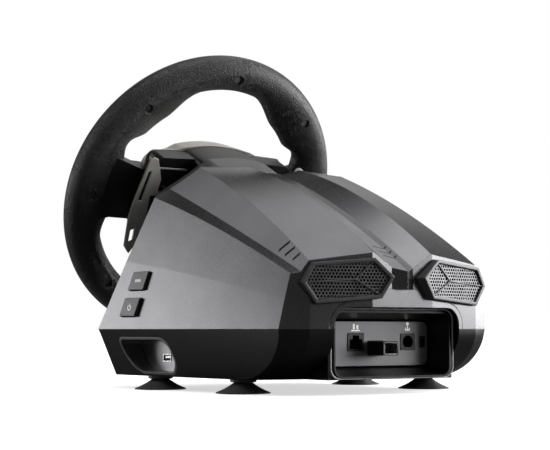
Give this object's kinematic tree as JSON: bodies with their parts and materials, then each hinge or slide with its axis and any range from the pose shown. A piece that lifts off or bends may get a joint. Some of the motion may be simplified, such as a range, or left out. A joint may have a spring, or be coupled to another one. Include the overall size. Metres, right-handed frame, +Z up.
{
  "type": "racing wheel controller",
  "caption": "Desk racing wheel: leather-look rim on a tilted column, shift paddles and buttons, faceted base with rear vents, socket bay and suction-cup feet",
  "frame": {"origin": "middle of the bounding box at the level of the suction cups' rims, on the surface that the wheel stands on", "axes": "+Z up, +Y to the rear of the base where the sockets are, so the driver sits at -Y; +X is the driver's right"},
  "size_m": [0.28, 0.3886, 0.3054],
  "materials": {
    "shell_grey": "satin moulded ABS, fine spark texture",
    "tray_black": "matt moulded ABS, fine spark texture",
    "bay_plate": "matt moulded ABS",
    "vent_mesh": "perforated steel sheet, painted",
    "socket_black": "moulded nylon",
    "connector_metal": "bright tinned steel",
    "key_grey": "satin ABS",
    "cup_rubber": "soft moulded rubber",
    "zinc_steel": "zinc plated steel",
    "brass": "turned brass",
    "board_green": "solder-masked circuit board",
    "gear_nylon": "natural nylon",
    "frame_plastic": "glass-filled nylon",
    "rim_leather": "grained black skin, fine perforation",
    "armature_steel": "pressed steel",
    "hub_black": "satin ABS",
    "plate_silver": "warm silver paint",
    "paddle_metal": "brushed and clear anodised",
    "cap_gloss": "polished ABS",
    "button_gloss": "polished ABS"
  },
  "bodies": {
    "base": {"upper_shell": "shell_grey", "front_fascia": "tray_black", "lower_tray": "tray_black", "usb_pocket": "bay_plate", "usb_socket": "connector_metal", "port_tub": "tray_black", "port_plate": "bay_plate", "pedal_socket": "socket_black", "shifter_socket": "socket_black", "spare_socket": "socket_black", "link_connector": "socket_black", "main_board": "board_green", "vent_frame_right": "tray_black", "vent_frame_left": "tray_black", "vent_mesh_right": "vent_mesh", "vent_mesh_left": "vent_mesh", "key_board": "board_green", "suction_cup_front_right": "cup_rubber", "suction_cup_front_left": "cup_rubber", "suction_cup_rear_right": "cup_rubber", "suction_cup_rear_left": "cup_rubber", "cup_studs": "zinc_steel", "base_screws": "zinc_steel", "clamp_socket": "brass", "bearing_bracket": "frame_plastic", "shaft_bearings": "zinc_steel", "angle_sensor": "socket_black", "spring_drum": "frame_plastic", "column_collar": "shell_grey", "rumble_motors": "zinc_steel"},
    "steering_wheel": {"rim_back_shell": "rim_leather", "rim_front_shell": "rim_leather", "rim_armature": "armature_steel", "rim_screws": "zinc_steel", "hub_housing": "hub_black", "hub_front_plate": "plate_silver", "spoke_covers": "hub_black", "wheel_board": "board_green", "centre_cap": "cap_gloss", "pod_trims": "paddle_metal", "paddle_pins": "zinc_steel", "steering_shaft": "zinc_steel", "steering_gear": "gear_nylon"},
    "button_east_body": {"button_east": "button_gloss"},
    "button_north_body": {"button_north": "button_gloss"},
    "button_south_body": {"button_south": "button_gloss"},
    "button_west_body": {"button_west": "button_gloss"},
    "dpad_body": {"dpad": "button_gloss"},
    "dpad_pivot_body": {"dpad_pivot": "gear_nylon"},
    "home_button_body": {"home_button": "button_gloss"},
    "menu_button_left_body": {"menu_button_left": "button_gloss"},
    "menu_button_right_body": {"menu_button_right": "button_gloss"},
    "paddle_left_body": {"paddle_left": "paddle_metal"},
    "paddle_right_body": {"paddle_right": "paddle_metal"},
    "rumble_weight_left_body": {"rumble_weight_left": "brass"},
    "rumble_weight_right_body": {"rumble_weight_right": "brass"},
    "sensor_gear_body": {"sensor_gear": "gear_nylon"},
    "side_key_lower_body": {"side_key_lower": "key_grey"},
    "side_key_upper_body": {"side_key_upper": "key_grey"}
  },
  "joints": [
    {"name": "steering", "type": "hinge", "parent": "base", "child": "steering_wheel", "pos_m": [0, -0.123, 0.1785], "axis": [0, 0.8949, -0.4462], "range_deg": [-450, 450], "stiffness_Nm_per_rad": 0.06},
    {"name": "sensor_spin", "type": "hinge", "parent": "base", "child": "sensor_gear_body", "pos_m": [0.042, -0.00845, 0.12139], "axis": [0, 0.8949, -0.4462], "range_deg": [-1126, 1126]},
    {"name": "paddle_right_pull", "type": "hinge", "parent": "steering_wheel", "child": "paddle_right_body", "pos_m": [0.063, -0.09239, 0.16324], "axis": [0, -0.4462, -0.8949], "range_deg": [0, 6], "stiffness_Nm_per_rad": 0.5, "springref_deg": -4.58},
    {"name": "paddle_left_pull", "type": "hinge", "parent": "steering_wheel", "child": "paddle_left_body", "pos_m": [-0.063, -0.09239, 0.16324], "axis": [0, 0.4462, 0.8949], "range_deg": [0, 6], "stiffness_Nm_per_rad": 0.5, "springref_deg": -4.58},
    {"name": "button_north_press", "type": "slide", "parent": "steering_wheel", "child": "button_north_body", "axis": [0, 0.8949, -0.4462], "range_m": [0, 0.0013], "stiffness_N_per_m": 700, "springref_m": -0.001},
    {"name": "button_east_press", "type": "slide", "parent": "steering_wheel", "child": "button_east_body", "axis": [0, 0.8949, -0.4462], "range_m": [0, 0.0013], "stiffness_N_per_m": 700, "springref_m": -0.001},
    {"name": "button_south_press", "type": "slide", "parent": "steering_wheel", "child": "button_south_body", "axis": [0, 0.8949, -0.4462], "range_m": [0, 0.0013], "stiffness_N_per_m": 700, "springref_m": -0.001},
    {"name": "button_west_press", "type": "slide", "parent": "steering_wheel", "child": "button_west_body", "axis": [0, 0.8949, -0.4462], "range_m": [0, 0.0013], "stiffness_N_per_m": 700, "springref_m": -0.001},
    {"name": "menu_button_left_press", "type": "slide", "parent": "steering_wheel", "child": "menu_button_left_body", "axis": [0, 0.8949, -0.4462], "range_m": [0, 0.0013], "stiffness_N_per_m": 700, "springref_m": -0.001},
    {"name": "menu_button_right_press", "type": "slide", "parent": "steering_wheel", "child": "menu_button_right_body", "axis": [0, 0.8949, -0.4462], "range_m": [0, 0.0013], "stiffness_N_per_m": 700, "springref_m": -0.001},
    {"name": "home_button_press", "type": "slide", "parent": "steering_wheel", "child": "home_button_body", "axis": [0, 0.8949, -0.4462], "range_m": [0, 0.0013], "stiffness_N_per_m": 700, "springref_m": -0.001},
    {"name": "dpad_rock_up_down", "type": "hinge", "parent": "steering_wheel", "child": "dpad_pivot_body", "pos_m": [-0.051, -0.12409, 0.19245], "axis": [1, 0, 0], "range_deg": [-6, 6], "stiffness_Nm_per_rad": 0.15},
    {"name": "dpad_rock_sideways", "type": "hinge", "parent": "dpad_pivot_body", "child": "dpad_body", "pos_m": [-0.051, -0.12409, 0.19245], "axis": [0, 0.4462, 0.8949], "range_deg": [-6, 6], "stiffness_Nm_per_rad": 0.15},
    {"name": "side_key_upper_press", "type": "slide", "parent": "base", "child": "side_key_upper_body", "axis": [-0.9819, -0.084, -0.17], "range_m": [0, 0.0015], "stiffness_N_per_m": 700, "springref_m": -0.001},
    {"name": "side_key_lower_press", "type": "slide", "parent": "base", "child": "side_key_lower_body", "axis": [-0.9819, -0.084, -0.17], "range_m": [0, 0.0015], "stiffness_N_per_m": 700, "springref_m": -0.001},
    {"name": "rumble_right_spin", "type": "hinge", "parent": "base", "child": "rumble_weight_right_body", "pos_m": [0.058, 0.02, 0.032], "axis": [1, 0, 0], "continuous": true},
    {"name": "rumble_left_spin", "type": "hinge", "parent": "base", "child": "rumble_weight_left_body", "pos_m": [-0.058, 0.02, 0.032], "axis": [1, 0, 0], "continuous": true}
  ],
  "couplings": [
    {"joint": "sensor_spin", "follows": "steering", "ratio": -2.5}
  ]
}
